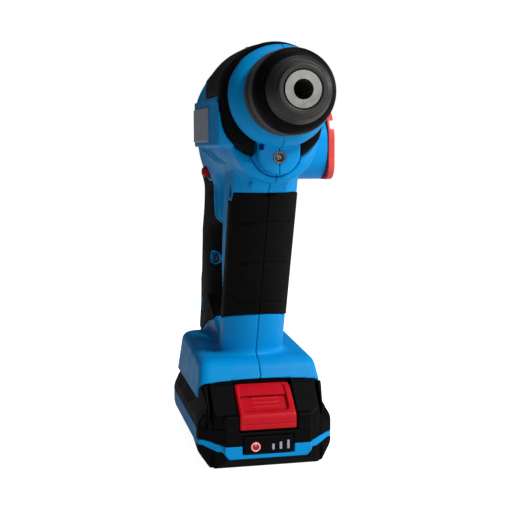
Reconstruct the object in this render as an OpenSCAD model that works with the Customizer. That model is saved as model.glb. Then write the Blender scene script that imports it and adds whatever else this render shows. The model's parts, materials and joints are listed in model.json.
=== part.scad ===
// Compact cordless rotary hammer drill with a closed D-handle and a slide-on battery.
// X is across the tool, -Y is the way the chuck points, +Z is up.
// The origin is the centre of the battery's flat base.
// A "depth" is a distance behind the chuck's front face, along +Y.

/* [Layout] */
// Distance from the battery's centre forward to the chuck face
nose_reach = 136; // [132:1:140]
// Height of the spindle's axis above the battery's base
axis_z = 214.5; // [214:0.5:216]
// Distance between the spindle's axis and the countershaft's axis
shaft_gap = 26; // [26:1:26]

/* [Chuck] */
// Diameter of the bore that takes the tool shank
tool_bore_d = 10.1; // [10.05:0.05:10.2]
// Outer diameter of the steel nose
nose_d = 18.5; // [18:0.5:19]
// Largest diameter of the locking sleeve
sleeve_d = 43.6; // [42:0.2:44]

/* [Body] */
// Radius of the barrel under its rubber pads
barrel_r = 32; // [31.5:0.5:32.5]
// Diameter of the collar that takes a clamp-on side handle
collar_d = 56.6; // [56:0.2:57]
// Thickness of the plastic shells
wall = 2.6; // [2.2:0.1:2.8]
// Thickness of the rubber overmould
rubber = 1.3; // [1:0.1:1.5]

/* [Gears] */
// Gear module
gear_module = 1; // [1:1:1]
// Teeth on each large gear
large_teeth = 40; // [40:1:40]
// Teeth on each pinion
pinion_teeth = 12; // [12:1:12]

/* [Controls] */
// Radius of the mode knob
knob_r = 22; // [20:0.5:22]

/* [Battery] */
// Width of the battery across its widest line
battery_w = 80.4; // [79:0.2:81]
// Length of the battery
battery_l = 118; // [116:1:118]
// Radius of one battery cell
cell_r = 9.2; // [9:0.1:9.2]

/* [Hidden] */
$fn = 64;
fit = 0.05;
gap = 0.3;

blue = "deepskyblue";
black = "#1b1b1d";
red = "crimson";
steel = "silver";
brass = "goldenrod";

counter_z = axis_z - shaft_gap;
barrel_z = axis_z - 1;
lower_r = 22;
barrel_front = 62;
barrel_back = 145;
lamp_z = 181;
lamp_boss_z = 184;
lamp_boss_r = 12;

battery_front = nose_reach - battery_l / 2;
battery_back = nose_reach + battery_l / 2;
tongue_z = 48.6;
tongue_w = 62;
shoulder_z = 36.5;
foot_z = 38;
foot_top_z = 59;
belt_z = 24;

// ---------- helpers ----------

function at(depth) = depth - nose_reach;

// A rod along Y between two depths
module rod(r, from, to, x = 0, z = axis_z) {
    translate([x, at(from), z])
        rotate([-90, 0, 0])
            cylinder(r = r, h = to - from);
}

// A tube along Y between two depths
module pipe(r_out, r_in, from, to, x = 0, z = axis_z) {
    difference() {
        rod(r_out, from, to, x, z);
        rod(r_in, from - 1, to + 1, x, z);
    }
}

// A solid of revolution about the spindle's axis, from [radius, depth] points
module turned(points, z = axis_z) {
    translate([0, at(0), z])
        rotate([-90, 0, 0])
            rotate_extrude()
                polygon(points);
}

// A flat outline across X and Z, carried along Y between two depths
module prism_y(from, to) {
    translate([0, at(to), 0])
        rotate([90, 0, 0])
            linear_extrude(height = to - from)
                children();
}

// A box from one corner to the other, with depths in Y
module block(x0, x1, d0, d1, z0, z1) {
    translate([x0, at(d0), z0])
        cube([x1 - x0, d1 - d0, z1 - z0]);
}

module side(right) {
    x0 = right ? 0 : -60;
    intersection() {
        children();
        translate([x0, -150, -5]) cube([60, 300, 270]);
    }
}

// ---------- gear teeth ----------

function roll_point(base_r, roll) =
    let (length = roll * PI / 180)
    base_r * [cos(roll) + length * sin(roll), sin(roll) - length * cos(roll)];
function roll_at(base_r, r) = r <= base_r ? 0 : sqrt(pow(r / base_r, 2) - 1) * 180 / PI;
function turn(p, a) = [p[0] * cos(a) - p[1] * sin(a), p[0] * sin(a) + p[1] * cos(a)];
function flip(p) = [p[0], -p[1]];

// One tooth flank on the lower side of a tooth that points along +X
function flank(pitch_r, tip_r, half_angle) =
    let (
        pressure = 20,
        base_r = pitch_r * cos(pressure),
        shift = tan(pressure) * 180 / PI - pressure,
        last = roll_at(base_r, tip_r)
    )
    [for (step = [0:4]) turn(roll_point(base_r, last * step / 4), -half_angle - shift)];

module gear_outline(teeth) {
    pitch_r = gear_module * teeth / 2;
    tip_r = pitch_r + 0.75 * gear_module;
    root_r = pitch_r - 1.05 * gear_module;
    backlash = 0.12;
    half_angle = 90 / teeth - backlash / pitch_r * 180 / PI;
    lower = flank(pitch_r, tip_r, half_angle);
    foot = turn([root_r - 0.4, 0], atan2(lower[0][1], lower[0][0]));
    upper = [for (i = [4:-1:0]) flip(lower[i])];
    circle(r = root_r);
    for (i = [0:teeth - 1])
        rotate(i * 360 / teeth)
            polygon(concat([foot], lower, upper, [flip(foot)]));
}

module gear(teeth, from, to, z, phase) {
    translate([0, at(from), z])
        rotate([-90, 0, 0])
            linear_extrude(height = to - from)
                rotate(phase)
                    gear_outline(teeth);
}

// ---------- spindle and chuck ----------

cylinder_r = 9.5;
spindle_r = 12.5;
cylinder_front = 44;
spindle_back = 77;
bore_r = tool_bore_d / 2;
nose_r = nose_d / 2;
bore_l = 36;
bolt_r = 5.6;
ball_r = 2.8;
ball_depth = 25.5;

module tool_holder() {
    color(steel)
        difference() {
            union() {
                rod(nose_r, 0, 32);
                rod(11, 32, 40);
                rod(spindle_r, 40, spindle_back);
            }
            rod(bore_r, -1, bore_l);
            rod(bolt_r + fit, bore_l, cylinder_front + 1);
            rod(cylinder_r, cylinder_front, spindle_back + 1);
            for (s = [-1, 1]) {
                translate([0, at(ball_depth), axis_z])
                    rotate([0, s * 90, 0]) {
                        translate([0, 0, bore_r + 1.2]) cylinder(r = ball_r + fit, h = 5);
                        cylinder(r = 1.6, h = 8);
                    }
            }
        }
}

module locking_balls() {
    color(steel)
        for (s = [-1, 1])
            translate([s * (bore_r + 1.25 + ball_r), at(ball_depth), axis_z])
                sphere(r = ball_r);
}

module dust_cap() {
    color(black)
        turned([
            [nose_r + 0.5, 0.4], [10.3, 0], [12.6, 0], [13.2, 0.6], [14.6, 4.6], [15.4, 5.2],
            [17, 9.2], [17, 10.6], [nose_r, 10.6], [nose_r, 2.6], [nose_r + 0.5, 2.6]
        ]);
}

module locking_sleeve() {
    big = sleeve_d / 2;
    color(black)
        turned([
            [nose_r + 0.15, 11.2], [17.6, 11.2], [18.2, 12], [18.2, 13.6], [big - 0.8, 15.6],
            [big, 17.4], [big, 25], [big - 0.8, 27], [14.2, 27], [14.2, 18.4], [12, 18.4],
            [12, 17], [nose_r + 0.15, 17]
        ]);
}

module chuck_base_ring() {
    color("#4a4543")
        turned([[nose_r, 30], [13.6, 30], [13.6, 32.6], [21.4, 32.6], [22.3, 33.6], [22.3, 37],
                [21.8, 37.5], [11, 37.5], [11, 32], [nose_r, 32]]);
}

// The spring is a plain tube as long as the room between sleeve and ring
module sleeve_spring() {
    color(steel) pipe(13.6, 12.2, 18.5, 29.9);
}

module spindle_gear() {
    color(steel)
        difference() {
            gear(large_teeth, 62, 69, axis_z, 0);
            rod(spindle_r, 61, 70);
        }
}

module spindle_bearing() { color(steel) pipe(18, spindle_r + 0.04, 52, 60); }
module oil_seal() { color(black) pipe(18, spindle_r + 0.08, 46, 51); }

// ---------- hammer mechanism ----------

wobble_depth = 87;
ball_end_r = 3;
slot_half = 3.2;

module impact_bolt() {
    color(steel) {
        rod(bolt_r, 38, 46);
        rod(7.5, 46, 49);
    }
}

module striker() {
    color(steel) {
        rod(5, 49.2, 51.2);
        rod(cylinder_r - 0.08, 51.2, 57);
    }
}

module piston() {
    color("gainsboro")
        difference() {
            union() {
                rod(cylinder_r - 0.08, 70, 80);
                block(-6, 6, 79, 94, axis_z - 4, axis_z + 5);
            }
            block(-7, 7, wobble_depth - slot_half, wobble_depth + slot_half, axis_z - 5, axis_z + 3.8);
            pipe(12, 8.2, 73, 75);
        }
}

module piston_ring() { color(black) pipe(cylinder_r - 0.04, 8.2, 73, 75); }

hub_r = 9.6;
ring_r = 12.2;

module wobble_hub() {
    half_l = 6.5;
    edge = asin(half_l / hub_r);
    arc = [for (i = [0:8]) let (a = -edge + i * edge / 4)
        [hub_r * cos(a), wobble_depth + hub_r * sin(a)]];
    color(steel)
        turned(concat([[4, wobble_depth - half_l]], arc, [[4, wobble_depth + half_l]]), counter_z);
}

module wobble_ring() {
    color(steel) {
        pipe(ring_r, hub_r + 0.2, wobble_depth - 3.5, wobble_depth + 3.5, 0, counter_z);
        translate([0, at(wobble_depth), counter_z + ring_r - 1.6])
            cylinder(r = 2, h = shaft_gap - ring_r + 1.6);
        translate([0, at(wobble_depth), axis_z]) sphere(r = ball_end_r);
    }
}

module countershaft() {
    color(steel) {
        rod(4, 54, 118, 0, counter_z);
        gear(pinion_teeth, 61, 70, counter_z, 15);
    }
}

module countershaft_gear() {
    color(steel)
        difference() {
            gear(large_teeth, 104, 110, counter_z, 0);
            rod(4, 103, 111, 0, counter_z);
        }
}

module countershaft_bearings() {
    color(steel) {
        pipe(7.5, 4.04, 55, 60, 0, counter_z);
        pipe(8, 4.04, 113, 118, 0, counter_z);
    }
}

module gear_plate() {
    color("darkgray")
        difference() {
            prism_y(112, 119)
                intersection() {
                    union() {
                        translate([0, barrel_z]) circle(r = 28.8);
                        translate([0, counter_z]) circle(r = 17);
                    }
                    translate([-40, 165]) square([80, 90]);
                }
            rod(9, 113, 120);
            rod(6, 111, 120);
            rod(8, 113, 120, 0, counter_z);
            rod(5, 111, 120, 0, counter_z);
        }
}

// ---------- motor ----------

module motor_can() {
    color("dimgray")
        difference() {
            rod(24.5, 121, 165);
            rod(22.9, 122.5, 166);
            rod(10, 120, 124);
        }
}

module motor_magnets() {
    color("#3c3c40")
        for (s = [0, 180])
            translate([0, at(126), axis_z])
                rotate([-90, 0, 0])
                    rotate([0, 0, s - 62])
                        rotate_extrude(angle = 124)
                            translate([18.6, 0]) square([4.3, 30]);
}

module motor_bearings() {
    color(steel) {
        pipe(9, 4.04, 113, 119);
        pipe(8, 4.04, 180, 186);
    }
}

module brush_holder() {
    color("#30302c")
        difference() {
            rod(21, 168, 179);
            rod(12, 167, 178);
            rod(6.5, 167, 180);
            block(-30, 30, 170, 176, axis_z - 3, axis_z + 3);
        }
}

module carbon_brushes() {
    color("#222222")
        for (s = [-1, 1])
            on_side(s) block(9.3, 20, 170.2, 175.8, axis_z - 2.8, axis_z + 2.8);
}

// Mirrors its children across the middle plane for the left side, -1
module on_side(s) {
    if (s > 0) children();
    else mirror([1, 0, 0]) children();
}

module armature_shaft() {
    color(steel) {
        rod(4, 109.5, 187);
        gear(pinion_teeth, 103, 110, axis_z, 15);
    }
}

module armature_core() {
    color("#7a5a3a")
        difference() {
            prism_y(128, 158)
                difference() {
                    translate([0, axis_z]) circle(r = 18);
                    for (i = [0:11])
                        translate([0, axis_z]) rotate(i * 30) translate([13, -1]) square([6, 2]);
                }
            rod(4, 127, 159);
        }
}

module commutator() { color(brass) pipe(9, 4, 169, 177); }

module cooling_fan() {
    color("#e8e4da")
        difference() {
            union() {
                rod(6, 160, 164);
                prism_y(160, 162) translate([0, axis_z]) circle(r = 19);
                prism_y(160, 166)
                    for (i = [0:10])
                        translate([0, axis_z]) rotate(i * 360 / 11) translate([5, -0.6]) square([14, 1.2]);
            }
            rod(4, 159, 167);
        }
}

// ---------- housings ----------

// A plan outline laid flat at a depth and height
module slab(depth, z) {
    translate([0, at(depth), z])
        linear_extrude(height = 0.5)
            children();
}

// Strut slices: depth of the front edge, height, depth from front to back
strut_slices = [[74, 168, 40], [103, 86, 28], [111, 54, 26]];
strut_half_w = 18.9;
strut_front_r = 24;

module strut(inset) {
    for (i = [0:1])
        hull()
            for (s = [strut_slices[i], strut_slices[i + 1]])
                slab(s[0], s[1]) strut_plan(inset, s[2]);
}

// The strut's rounded front and flat back, in plan
module strut_plan(inset, deep) {
    half = strut_half_w - inset;
    flat_from = 20;
    intersection() {
        translate([0, strut_front_r]) circle(r = strut_front_r - inset, $fn = 32);
        translate([-half, 0]) square([2 * half, strut_front_r]);
    }
    translate([-half, flat_from]) square([2 * half, deep - flat_from - inset]);
}

// Grip slices: depth of the centre, height, half depth, half width
grip_slices = [[189, 176, 26, 18], [190, 140, 25.5, 16], [196, 100, 26, 16], [204, 60, 30, 17]];

module grip(inset) {
    for (i = [0:2])
        hull()
            for (s = [grip_slices[i], grip_slices[i + 1]])
                slab(s[0], s[1])
                    intersection() {
                        scale([1, (s[2] - inset) / (s[3] - inset)]) circle(r = s[3] - inset, $fn = 32);
                        square([80, 2 * (s[2] - inset)], center = true);
                    }
}

module barrel(inset) {
    r = barrel_r - inset;
    hull() {
        rod(r, barrel_front, barrel_back, 0, barrel_z, $fn = 48);
        rod(lower_r - inset, barrel_front, barrel_back, 0, counter_z, $fn = 32);
    }
    hull() {
        rod(r, barrel_back - 1, barrel_back, 0, barrel_z, $fn = 48);
        rod(lower_r - inset, barrel_back - 1, barrel_back, 0, counter_z, $fn = 32);
        rod(28 - inset, 179, 180, 0, 211, $fn = 32);
        rod(19 - inset, 196, 198 - inset, 0, 205, $fn = 32);
        rod(18 - inset, 190, 213 - inset, 0, 186, $fn = 32);
    }
}

module lower_nose(inset) {
    rod(lower_r - inset, 58 + inset, barrel_front + 1, 0, counter_z, $fn = 32);
}

module foot_block() {
    hull() {
        block(-38.5, 38.5, 99, 190, foot_z, foot_z + 6);
        block(-33, 33, 108, 186, foot_top_z - 1, foot_top_z);
    }
    hull() {
        slab(204, 62) scale([1, 30 / 17]) circle(r = 17, $fn = 32);
        block(-30, 30, 170, 190, 44, foot_top_z - 1);
    }
}

module battery_channel() {
    // Open to the front and below, with rails that hook into the battery's grooves
    block(-tongue_w / 2 - gap, tongue_w / 2 + gap, 90, 187, foot_z - 1, 40.4);
    block(-tongue_w / 2 + 3 - gap, tongue_w / 2 - 3 + gap, 90, 187, 40, 43.4);
    block(-tongue_w / 2 - gap, tongue_w / 2 + gap, 90, 187, 43.2, tongue_z + gap);
    block(-13, 13, 90, 112, tongue_z, 55);
}

// Screws through the housing: depth, height, distance of the head from the middle plane
screw_spots = [[176, 114, 15], [208, 78, 14], [92, 161.5, 18], [118, 98, 18], [73, 238.5, 15], [193, 212, 16]];

module screw_posts() {
    post_r = 4.2;
    for (s = screw_spots)
        translate([-s[2] + 1, at(s[0]), s[1]])
            rotate([0, 90, 0])
                cylinder(r = post_r, h = 2 * s[2] - 2, $fn = 24);
}

module screw_holes() {
    for (s = screw_spots)
        translate([-s[2], at(s[0]), s[1]])
            rotate([0, 90, 0]) {
                translate([0, 0, -20]) cylinder(r = 3.4, h = 24, $fn = 24);
                cylinder(r = 1.65, h = s[2] + 10, $fn = 24);
            }
}

module housing_screws() {
    color("#222222")
        for (s = screw_spots)
            translate([-s[2], at(s[0]), s[1]])
                rotate([0, 90, 0])
                    difference() {
                        union() {
                            translate([0, 0, 1.6]) cylinder(r = 3.2, h = 2.4);
                            cylinder(r = 1.6, h = s[2] + 9.9);
                        }
                        translate([0, 0, -1]) cylinder(r = 1.7, h = 3.8, $fn = 6);
                    }
}

knob_depth = 105.5;
knob_face_x = 37;

module knob_boss() {
    translate([16, at(knob_depth), counter_z])
        rotate([0, 90, 0])
            cylinder(r = knob_r + 0.5, h = knob_face_x - 16, $fn = 48);
}

module housing() {
    difference() {
        union() {
            difference() {
                union() {
                    barrel(0);
                    lower_nose(0);
                    strut(0);
                    grip(0);
                    knob_boss();
                    side_frame();
                }
                difference() {
                    union() {
                        barrel(wall);
                        lower_nose(wall);
                        strut(wall);
                        grip(wall);
                    }
                    screw_posts();
                    motor_ribs();
                }
            }
            foot_block();
        }
        battery_channel();
        foot_cavity();
        rod(collar_d / 2, 50, barrel_front + 1);
        rod(barrel_r + 0.6, 50, barrel_front, 0, axis_z);
        rod(21.8, 102.5, 112.5, 0, counter_z);
        block(-13, 13.5, 50, barrel_front + 0.01, 170, 200);
        trigger_mouth();
        direction_slot();
        knob_bore();
        screw_holes();
        vents();
    }
}

// Raised frame on the left side that carries the label plate
frame_x = -32.6;
frame_z = [187, 214];

module side_frame() { block(frame_x, -15, 66, 146, frame_z[0], frame_z[1]); }

module motor_ribs() {
    for (d = [126, 158])
        difference() {
            rod(40, d, d + 3);
            rod(24.7, d - 1, d + 4);
            block(-50, 50, d - 1, d + 4, 100, 190);
        }
}

module foot_cavity() {
    block(-27, 27, 140, 184, 43, 56.2);
}

module trigger_mouth() { block(-8.2, 8.2, 150, 174.5, 133.6, 161.4); }

module direction_slot() {
    block(-40, 40, 164.6, 175.4, 167.1, 174.9);
}

module knob_bore() {
    translate([10, at(knob_depth), counter_z])
        rotate([0, 90, 0]) {
            cylinder(r = 6 + fit, h = 40);
            cylinder(r = 12, h = 20.2);
        }
}

vent_pitch = 7;
vent_slant = 35;
vent_w = 2.2;

// Slanted cooling slots through both sides of the motor bay, in a low row and a high row
module vents() {
    for (s = [-1, 1])
        on_side(s)
            for (i = [0:2]) {
                vent(128 + vent_pitch * i, 178, 10);
                vent(142 + vent_pitch * i, 216, 12);
            }
}

module vent(depth, z, length) {
    translate([20, at(depth), z])
        rotate([vent_slant, 0, 0])
            cube([20, vent_w, length]);
}

module right_housing() { color(blue) side(true) housing(); }
module left_housing() { color(blue) side(false) housing(); }

module nose_housing() {
    collar = collar_d / 2;
    color(blue)
        difference() {
            union() {
                turned([
                    [15, 38], [21.4, 38], [24.4, 39.2], [26.8, 41.3], [28, 43.6], [collar, 45],
                    [collar, 50], [collar - 0.5, 50], [collar - 0.5, 61.8], [15, 61.8]
                ]);
                prism_y(50, 61.8) {
                    translate([0, lamp_boss_z]) circle(r = lamp_boss_r);
                    translate([-lamp_boss_r, lamp_boss_z]) square([2 * lamp_boss_r, 8]);
                }
            }
            rod(11.6, 37, 62);
            rod(13.2, 40.5, 62);
            rod(18, 46, 62);
            rod(23, 60.2, 62);
            rod(7.5, 55, 63, 0, counter_z);
            rod(4.4, 53.6, 63, 0, counter_z);
            rod(3.1, 49, 53, 0, lamp_z);
        }
}

module bumper_ring() {
    color(black)
        difference() {
            pipe(barrel_r, collar_d / 2 - 0.5, 52, 61.8);
            block(-12, 12.7, 50, 63, 170, 200);
        }
}

module led_lens() {
    color("whitesmoke") {
        rod(3, 50.6, 52.9, 0, lamp_z);
        translate([0, at(50.6), lamp_z]) sphere(r = 1.6);
    }
}

// ---------- rubber and trim ----------

module top_pad() {
    color(black)
        intersection() {
            pipe(barrel_r + rubber, barrel_r, 64, 140, 0, barrel_z);
            block(-40, 40, 63, 141, barrel_z + 4, barrel_z + 40);
        }
}
module right_top_pad() { side(true) top_pad(); }
module left_top_pad() { side(false) top_pad(); }

module grip_pad() {
    color(black)
        difference() {
            grip(-rubber);
            grip(0);
            block(-40, 40, 100, 176, 120, 200);
            block(-40, 40, 100, 260, 152, 200);
            block(-40, 40, 100, 260, 40, 70);
            block(-3, 3, 100, 196, 40, 200);
            screw_heads_room();
            barrel(-gap);
        }
}

module screw_heads_room() {
    for (s = screw_spots)
        translate([-30, at(s[0]), s[1]])
            rotate([0, 90, 0])
                cylinder(r = 4.6, h = 30, $fn = 24);
}
module right_grip_pad() { side(true) grip_pad(); }
module left_grip_pad() { side(false) grip_pad(); }

module strut_pad() {
    color(black)
        difference() {
            strut(-rubber);
            strut(0);
            block(-40, 40, 50, 150, 40, 87);
            block(-40, 40, 50, 150, 161, 200);
            translate([-40, at(98), 160]) rotate([20, 0, 0]) translate([0, 0, -120]) cube([80, 60, 140]);
            screw_heads_room();
        }
}
module right_strut_pad() { side(true) strut_pad(); }
module left_strut_pad() { side(false) strut_pad(); }

module side_label_plate() {
    color("#b9bcc2")
        block(frame_x - 0.8, frame_x, 88, 137, frame_z[0] + 2.5, frame_z[1] - 4.5);
}

// ---------- controls ----------

module mode_knob() {
    color(red)
        translate([knob_face_x + gap, at(knob_depth), counter_z])
            difference() {
                rotate([0, 90, 0]) cylinder(r = knob_r, h = 4.2);
                translate([1, -30, 8.5]) cube([10, 60, 5]);
            }
}

module mode_shaft() {
    color(steel)
        translate([0, at(knob_depth), counter_z])
            rotate([0, 90, 0]) {
                translate([0, 0, 26]) cylinder(r = 6, h = knob_face_x + gap - 26);
                translate([-3, 0, 23.4]) cylinder(r = 1.8, h = 2.7);
            }
}

module trigger() {
    color(red)
        difference() {
            union() {
                hull() {
                    block(-7.9, 7.9, 156, 165, 134, 161);
                    block(-5, 5, 148, 150, 138, 157);
                }
                rod(3, 160, 176, 0, 148);
            }
            translate([-10, at(139), 148]) rotate([0, 90, 0]) cylinder(r = 11, h = 20);
        }
}

module trigger_spring() { color(steel) pipe(5, 3.2, 165, 173.5, 0, 148); }

module switch_body() {
    color("#2a2a2e")
        difference() {
            block(-9, 9, 173.5, 198, 131, 163);
            rod(3 + fit, 171, 186, 0, 148);
        }
}

module direction_button() {
    color(red)
        hull() {
            block(-21.5, 21.5, 165, 175, 167.5, 174.5);
            block(-24.5, 24.5, 167, 173, 169, 173);
        }
}

// ---------- battery contacts on the tool ----------

blade_spots = [-15, -5, 5, 15];

module terminal_block() {
    color("#2a2a2e")
        difference() {
            block(-22, 22, 150, 182, tongue_z + 1, 56);
            for (x = blade_spots)
                block(x - 0.4, x + 0.4, 151, 181, tongue_z, 54);
        }
}

module terminal_blades() {
    color(brass)
        for (x = blade_spots)
            block(x - 0.4, x + 0.4, 158, 181, 43, 54);
}

// ---------- battery ----------

module battery_section(half_top, half_belt, half_base) {
    polygon([
        [-half_base, 0], [half_base, 0], [half_belt, 11], [half_belt, belt_z],
        [half_top, shoulder_z], [-half_top, shoulder_z], [-half_belt, belt_z], [-half_belt, 11]
    ]);
}

// Plan of the battery, with the front corners cut back
module battery_plan(inset) {
    half = battery_w / 2 - inset;
    front = at(battery_front + inset);
    back = at(battery_back - inset);
    polygon([
        [-23, front], [23, front], [half, front + 9], [half, back - 6], [half - 6, back],
        [-half + 6, back], [-half, back - 6], [-half, front + 9]
    ]);
}

module battery_outer() {
    intersection() {
        prism_y(battery_front, battery_back) battery_section(34, battery_w / 2, 33.4);
        translate([0, 0, -1]) linear_extrude(height = 60) battery_plan(0);
        // Profile: the front face leans back towards the base and towards the top
        translate([-60, 0, 0])
            rotate([90, 0, 90])
                linear_extrude(height = 120)
                    polygon([
                        [at(battery_front + 6), 0], [at(battery_back - 2), 0], [at(battery_back), 10],
                        [at(battery_back), shoulder_z], [at(battery_front + 8), shoulder_z],
                        [at(battery_front), 20], [at(battery_front), 6.5]
                    ]);
    }
}

module battery_tongue() {
    half = tongue_w / 2;
    difference() {
        block(-half, half, 87, 186, shoulder_z - 1, tongue_z);
        for (s = [-1, 1])
            on_side(s) block(half - 3, half + 1, 98, 188, 39.7, 43.9);
        for (x = blade_spots)
            block(x - 1, x + 1, 154, 190, 41, 60);
    }
}

cell_floor = 6.2;
cell_room_half = 33.4;
gauge_half_w = 15;
gauge_z = [9, 19.4];
gauge_button_r = 3.2;
gauge_button_x = -8;
gauge_button_z = 13.2;

module cell_room() {
    block(-cell_room_half, cell_room_half, 90, 186, cell_floor, cell_floor + 2 * cell_r + 0.8);
    block(-cell_room_half, cell_room_half, 110, 186, belt_z, 30.5);
}

button_half_w = 17.2;
latch_half_w = 12;

// Room for the release button and its latch hook
module button_well() {
    half = button_half_w + 0.4;
    translate([-half, 0, 0])
        rotate([90, 0, 90])
            linear_extrude(height = 2 * half)
                polygon([
                    [at(70), 15.4], [at(83.8), 15.4], [at(93.4), 25.6], [at(101.4), 33.4],
                    [at(101.4), 60], [at(70), 60]
                ]);
    block(-latch_half_w - 0.4, latch_half_w + 0.4, 98, 110, 32, 60);
}

module battery_case_bottom() {
    color(black)
        difference() {
            intersection() {
                battery_outer();
                block(-60, 60, 60, 210, 0, belt_z);
            }
            cell_room();
            button_well();
            band_room();
            gauge_slab(-7);
            gauge_room();
        }
}

module battery_case_top() {
    color(black)
        difference() {
            union() {
                intersection() {
                    battery_outer();
                    block(-60, 60, 60, 210, belt_z, 60);
                }
                battery_tongue();
            }
            cell_room();
            button_well();
            block(-26, 26, 114, 150, 30, 46);
        }
}

module band_room() {
    translate([0, 0, 4.4])
        linear_extrude(height = 7.6)
            difference() {
                translate([-60, at(60)]) square([120, battery_back - 90]);
                battery_plan(3.4);
            }
}

module battery_band() {
    color(blue)
        difference() {
            intersection() {
                battery_outer();
                band_room();
            }
            block(-gauge_half_w, gauge_half_w, 60, 120, 3, 20);
        }
}

module battery_cells() {
    color("#2f7f4f")
        for (i = [0:4])
            translate([-32.5, at(99.6 + i * (2 * cell_r + 0.4)), cell_floor + 0.4 + cell_r])
                rotate([0, 90, 0])
                    cylinder(r = cell_r, h = 65);
}

module battery_board() {
    color("darkgreen") block(-30, 30, 112, 184, 27, 28.6);
}

module gauge_plate() {
    color("#26262a")
        difference() {
            gauge_slab(-0.6);
            gauge_room();
        }
}

// The gauge's plate, reaching forward of the battery's front face
module gauge_slab(front) {
    block(-gauge_half_w, gauge_half_w, battery_front + front, battery_front + 1.6, gauge_z[0], gauge_z[1]);
}

module gauge_room() {
    rod(gauge_button_r + 0.2, 60, battery_front + 5, gauge_button_x, gauge_button_z);
}

module gauge_button() {
    color(red)
        rod(gauge_button_r, battery_front - 1.2, battery_front + 3.4, gauge_button_x, gauge_button_z);
}

module release_button() {
    color(red) {
        translate([-button_half_w, 0, 0])
            rotate([90, 0, 90])
                linear_extrude(height = 2 * button_half_w)
                    polygon([
                        [at(77), 23.4], [at(80.5), 22.8], [at(90), 31], [at(98.2), 38], [at(98.2), 46.6],
                        [at(95.6), 46.6], [at(77), 31.6]
                    ]);
        block(-latch_half_w, latch_half_w, 98, 106, 38, 50);
        block(-latch_half_w, latch_half_w, 104, 106.5, 50, 52.2);
    }
}

module release_spring() {
    color(steel)
        translate([0, at(102), 32])
            difference() {
                cylinder(r = 3.5, h = 6);
                translate([0, 0, -1]) cylinder(r = 2.6, h = 8);
            }
}

// ---------- what is drawn ----------

right_housing();
left_housing();
nose_housing();
bumper_ring();
right_top_pad();
left_top_pad();
right_grip_pad();
left_grip_pad();
right_strut_pad();
left_strut_pad();
side_label_plate();
led_lens();
gear_plate();
spindle_bearing();
oil_seal();
countershaft_bearings();
motor_can();
motor_magnets();
motor_bearings();
brush_holder();
carbon_brushes();
switch_body();
terminal_block();
terminal_blades();
housing_screws();
tool_holder();
spindle_gear();
locking_balls();
dust_cap();
chuck_base_ring();
sleeve_spring();
locking_sleeve();
impact_bolt();
striker();
piston();
piston_ring();
countershaft();
countershaft_gear();
wobble_hub();
wobble_ring();
armature_shaft();
armature_core();
commutator();
cooling_fan();
mode_knob();
mode_shaft();
trigger();
trigger_spring();
direction_button();
battery_case_bottom();
battery_case_top();
battery_band();
battery_cells();
battery_board();
gauge_plate();
release_button();
release_spring();
gauge_button();
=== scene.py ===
"""Cordless rotary hammer drill: the visible model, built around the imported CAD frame."""

import json
import math
from concurrent.futures import ThreadPoolExecutor

import bmesh
import bpy
import numpy as np
from mathutils import Matrix, Vector


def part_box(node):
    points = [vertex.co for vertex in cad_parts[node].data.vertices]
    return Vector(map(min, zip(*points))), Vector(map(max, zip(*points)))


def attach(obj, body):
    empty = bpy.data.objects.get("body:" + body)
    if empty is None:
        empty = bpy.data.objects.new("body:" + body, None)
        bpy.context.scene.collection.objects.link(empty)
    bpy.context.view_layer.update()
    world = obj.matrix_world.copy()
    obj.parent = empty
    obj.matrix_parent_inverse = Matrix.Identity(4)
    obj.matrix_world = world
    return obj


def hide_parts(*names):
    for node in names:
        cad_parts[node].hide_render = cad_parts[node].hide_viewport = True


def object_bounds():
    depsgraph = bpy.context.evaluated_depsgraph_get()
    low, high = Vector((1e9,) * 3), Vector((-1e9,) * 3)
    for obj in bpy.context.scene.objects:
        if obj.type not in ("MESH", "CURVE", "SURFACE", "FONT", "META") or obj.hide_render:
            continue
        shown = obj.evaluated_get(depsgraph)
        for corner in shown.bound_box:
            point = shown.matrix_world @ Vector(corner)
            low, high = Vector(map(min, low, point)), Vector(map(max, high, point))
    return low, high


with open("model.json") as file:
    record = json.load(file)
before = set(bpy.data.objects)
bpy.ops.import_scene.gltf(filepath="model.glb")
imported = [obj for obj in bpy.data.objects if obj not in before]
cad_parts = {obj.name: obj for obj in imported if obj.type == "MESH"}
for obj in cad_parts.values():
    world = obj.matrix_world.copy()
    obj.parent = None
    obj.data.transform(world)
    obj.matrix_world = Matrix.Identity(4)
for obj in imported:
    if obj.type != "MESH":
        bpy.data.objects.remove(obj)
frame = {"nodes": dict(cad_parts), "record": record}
cad_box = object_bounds()

# ---------- places taken from the frame ----------
# Shapes are worked out in millimetres, as x (across), d (depth behind the chuck's face) and z (height).

MM = 0.001
FRONT_Y = cad_box[0][1]


def node_box(node):
    """The lowest and highest corner of a CAD node, as (x, depth, z) in millimetres."""
    low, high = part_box(node)
    return [np.array([c[0] / MM, (c[1] - FRONT_Y) / MM, c[2] / MM]) for c in (low, high)]


def middle(node):
    low, high = node_box(node)
    return (low + high) / 2


AXIS_Z = middle("tool_holder")[2]
COUNTER_Z = middle("countershaft_gear")[2]
BARREL_Z = AXIS_Z - 1
KNOB = middle("mode_knob")
KNOB_R = (node_box("mode_knob")[1] - node_box("mode_knob")[0])[2] / 2
COLLAR_R = node_box("nose_housing")[1][0]
BATTERY_HALF = node_box("battery_case_bottom")[1][0]
LAMP_Z = middle("led_lens")[2]
LABEL = node_box("side_label_plate")
PLATE = node_box("gauge_plate")
GAUGE = node_box("gauge_button")
GAUGE_X, _, GAUGE_Z = middle("gauge_button")

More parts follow.
